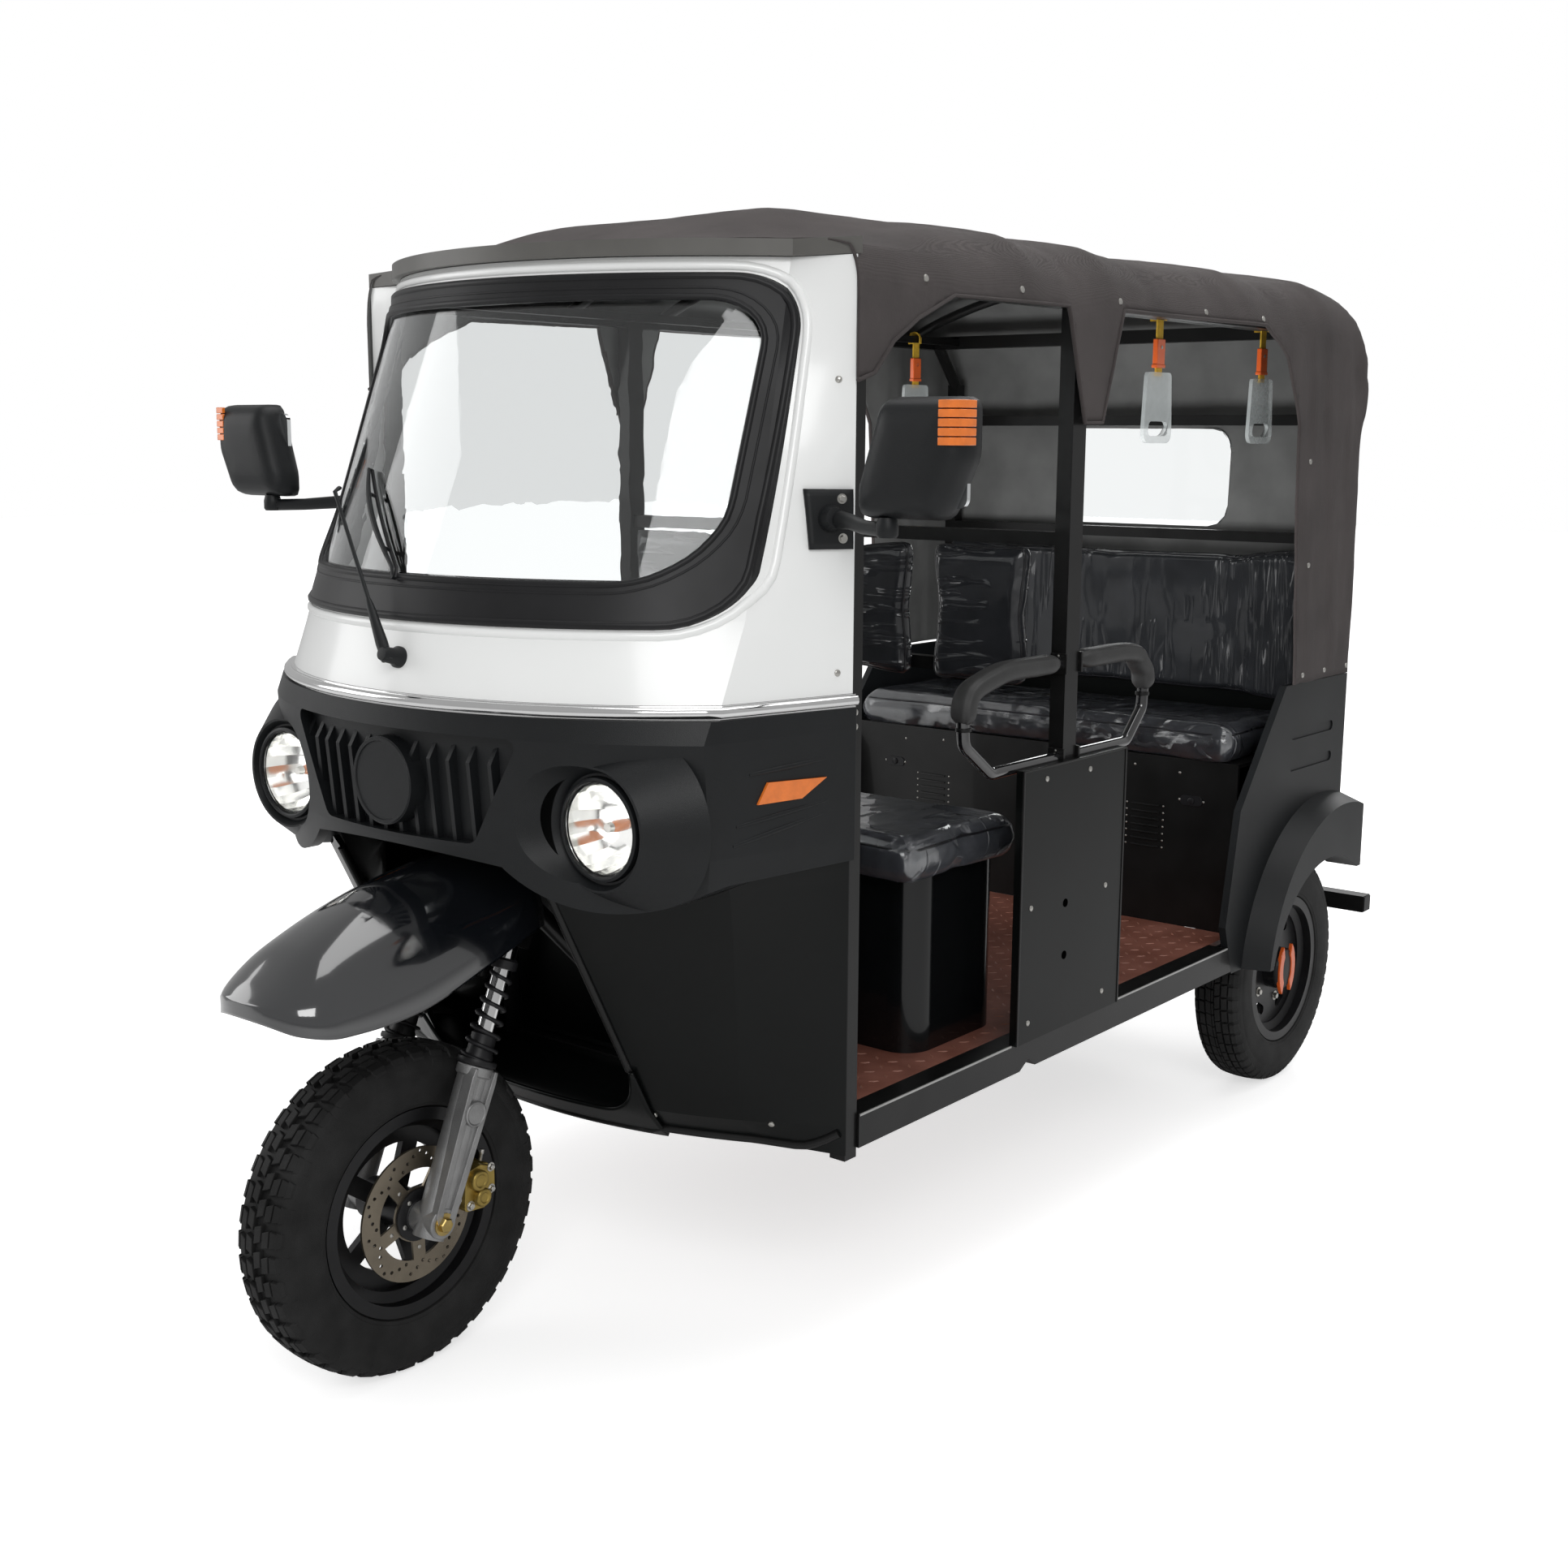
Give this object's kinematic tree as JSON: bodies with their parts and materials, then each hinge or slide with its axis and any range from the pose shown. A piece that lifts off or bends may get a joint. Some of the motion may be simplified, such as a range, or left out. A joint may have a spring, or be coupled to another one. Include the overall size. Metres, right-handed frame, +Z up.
{
  "type": "three-wheeled passenger auto rickshaw",
  "caption": "Three-wheeled passenger auto rickshaw with an enclosed nose, open doorways, fabric roof, a driver's seat and a rear bench, steered by a raked front fork.",
  "frame": {"origin": "on the ground under the middle of the vehicle's length and width", "axes": "+X to the vehicle's left, front faces -Y, +Z up"},
  "size_m": [1.67, 2.8549, 1.84],
  "materials": {
    "chassis_black": "satin",
    "floor_brown": "satin",
    "body_white": "gloss",
    "nose_black": "satin",
    "panel_black": "gloss",
    "rubber_black": "matte",
    "screen_glass": "gloss",
    "bright_trim": "polished",
    "grey_trim": "satin",
    "lamp_reflector": "polished",
    "lamp_lens": "gloss",
    "amber_lens": "gloss",
    "red_lens": "gloss",
    "roof_fabric": "woven",
    "clear_sheet": "gloss",
    "seat_vinyl": "gloss",
    "strap_orange": "woven",
    "grip_clear": "gloss",
    "mirror_glass": "polished",
    "steel_dark": "satin",
    "fork_cast": "satin",
    "fork_chrome": "polished",
    "disc_steel": "satin",
    "caliper_gold": "satin",
    "tyre_black": "matte",
    "battery_grey": "matte"
  },
  "bodies": {
    "chassis": {"chassis_frame": "chassis_black", "floor_pan": "floor_brown", "sills": "chassis_black", "bulkhead": "chassis_black", "dashboard": "nose_black", "cab_frame": "chassis_black", "front_panel": "body_white", "windscreen_seal": "rubber_black", "windscreen_glass": "screen_glass", "chrome_strip": "bright_trim", "visor": "grey_trim", "nose_cowl": "nose_black", "grille": "nose_black", "leg_shields": "panel_black", "headlamps": "lamp_reflector", "headlamp_lenses": "lamp_lens", "side_markers": "amber_lens", "canopy": "roof_fabric", "rear_window": "clear_sheet", "quarter_panels": "nose_black", "rear_panel": "panel_black", "tail_lamps": "red_lens", "driver_seat_box": "panel_black", "driver_cushion": "seat_vinyl", "driver_backrest": "seat_vinyl", "rear_seat_box": "chassis_black", "rear_cushion": "seat_vinyl", "rear_backrest": "seat_vinyl", "battery_pack": "battery_grey", "side_panels": "panel_black", "armrests": "rubber_black", "handle_straps": "strap_orange", "hand_grips": "grip_clear", "mirrors": "nose_black", "mirror_glasses": "mirror_glass", "wiper": "nose_black", "rear_axle": "steel_dark", "leaf_springs": "steel_dark"},
    "steering": {"fork_legs": "fork_cast", "fork_tubes": "fork_chrome", "fork_springs": "rubber_black", "steering_column": "chassis_black", "front_fender": "panel_black", "brake_caliper": "caliper_gold"},
    "front_wheel": {"front_tyre": "tyre_black", "front_rim": "steel_dark", "brake_disc": "disc_steel"},
    "rear_wheel_left": {"rear_tyre_left": "tyre_black", "rear_rim_left": "steel_dark"},
    "rear_wheel_right": {"rear_tyre_right": "tyre_black", "rear_rim_right": "steel_dark"}
  },
  "joints": [
    {"name": "steer", "type": "hinge", "parent": "chassis", "child": "steering", "pos_m": [0, -1.12055, 0.265], "axis": [0, 0.3907, 0.9205], "range_deg": [-40, 40]},
    {"name": "front_wheel_spin", "type": "hinge", "parent": "steering", "child": "front_wheel", "pos_m": [0, -1.164, 0.265], "axis": [1, 0, 0], "continuous": true},
    {"name": "rear_wheel_left_spin", "type": "hinge", "parent": "chassis", "child": "rear_wheel_left", "pos_m": [0.453, 1.031, 0.265], "axis": [1, 0, 0], "continuous": true},
    {"name": "rear_wheel_right_spin", "type": "hinge", "parent": "chassis", "child": "rear_wheel_right", "pos_m": [-0.453, 1.031, 0.265], "axis": [1, 0, 0], "continuous": true}
  ]
}
